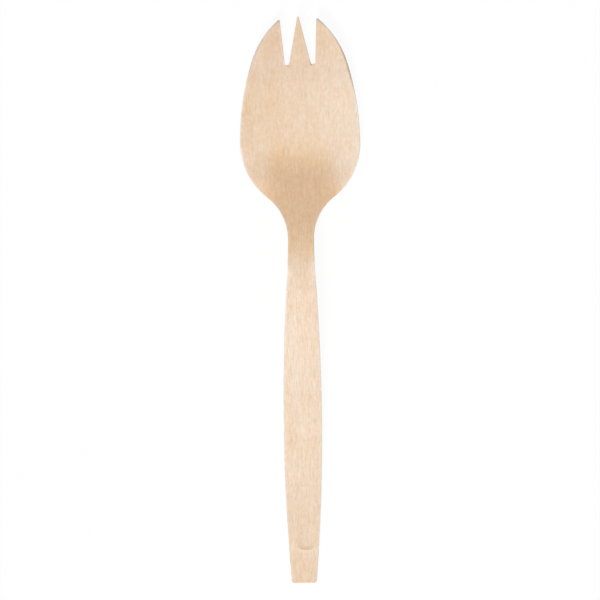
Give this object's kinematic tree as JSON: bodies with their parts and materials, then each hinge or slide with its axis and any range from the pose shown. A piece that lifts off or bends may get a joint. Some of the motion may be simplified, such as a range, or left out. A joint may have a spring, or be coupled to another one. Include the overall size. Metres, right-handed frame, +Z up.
{
  "type": "spork",
  "caption": "Disposable wooden spork: pressed shallow bowl with short tines, narrow neck and long flat handle with a pressed groove.",
  "frame": {"origin": "centre of the footprint, on the surface that the spork rests on", "axes": "+Y from the end of the handle to the tips of the tines, +Z up out of the hollow of the bowl, +X to the right seen from above with the tines away"},
  "size_m": [0.034, 0.16, 0.0095],
  "materials": {
    "birch_veneer": "hot-pressed, smooth satin, uncoated"
  },
  "bodies": {
    "root": {"spork_body": "birch_veneer"}
  },
  "joints": []
}
